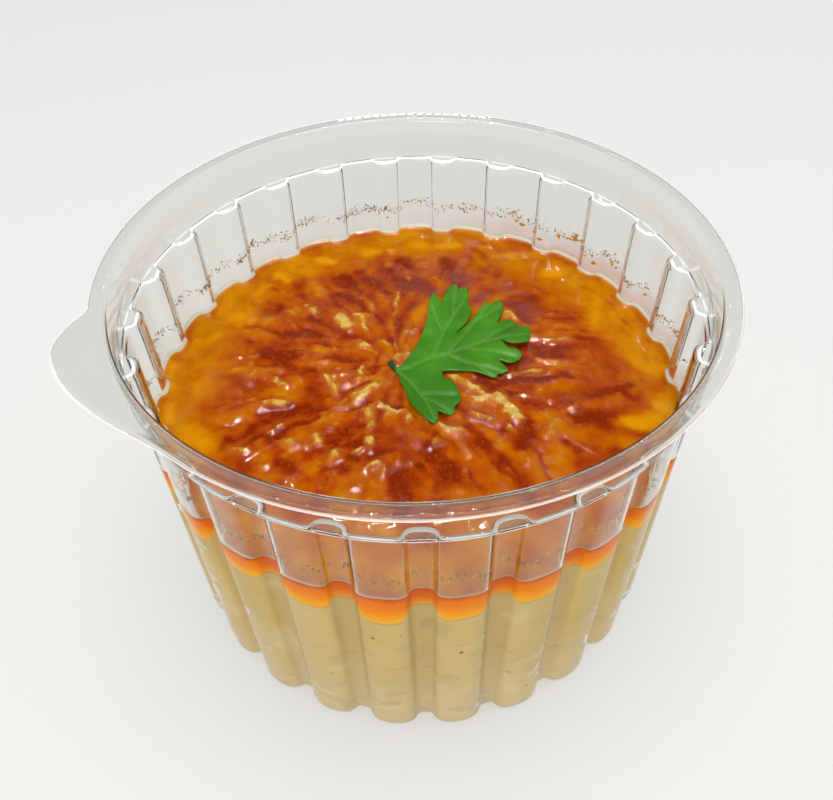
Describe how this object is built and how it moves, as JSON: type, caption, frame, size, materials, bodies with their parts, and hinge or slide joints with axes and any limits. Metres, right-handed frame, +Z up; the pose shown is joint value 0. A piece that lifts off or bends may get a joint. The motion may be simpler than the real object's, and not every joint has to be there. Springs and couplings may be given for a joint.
{
  "type": "hummus in a clear fluted tub",
  "caption": "Round clear plastic tub with a fluted wall and pull tab, part filled with hummus under paprika oil, topped with a parsley leaf.",
  "frame": {"origin": "middle of the tub's base, on its underside", "axes": "+Z up along the tub's axis; a lobe of the fluted wall stands at +Y, a rib at -Y; the pull tab points to -X and a little to -Y"},
  "size_m": [0.1177, 0.116, 0.076],
  "materials": {
    "clear_plastic": "clear, smooth, glossy sheet",
    "hummus": "soft fine paste, slightly wet",
    "paprika_oil": "clear amber oil with paprika grains",
    "parsley": "fresh leaf, slight sheen"
  },
  "bodies": {
    "root": {"tub": "clear_plastic", "hummus": "hummus", "paprika_oil": "paprika_oil", "parsley_leaf": "parsley"}
  },
  "joints": []
}
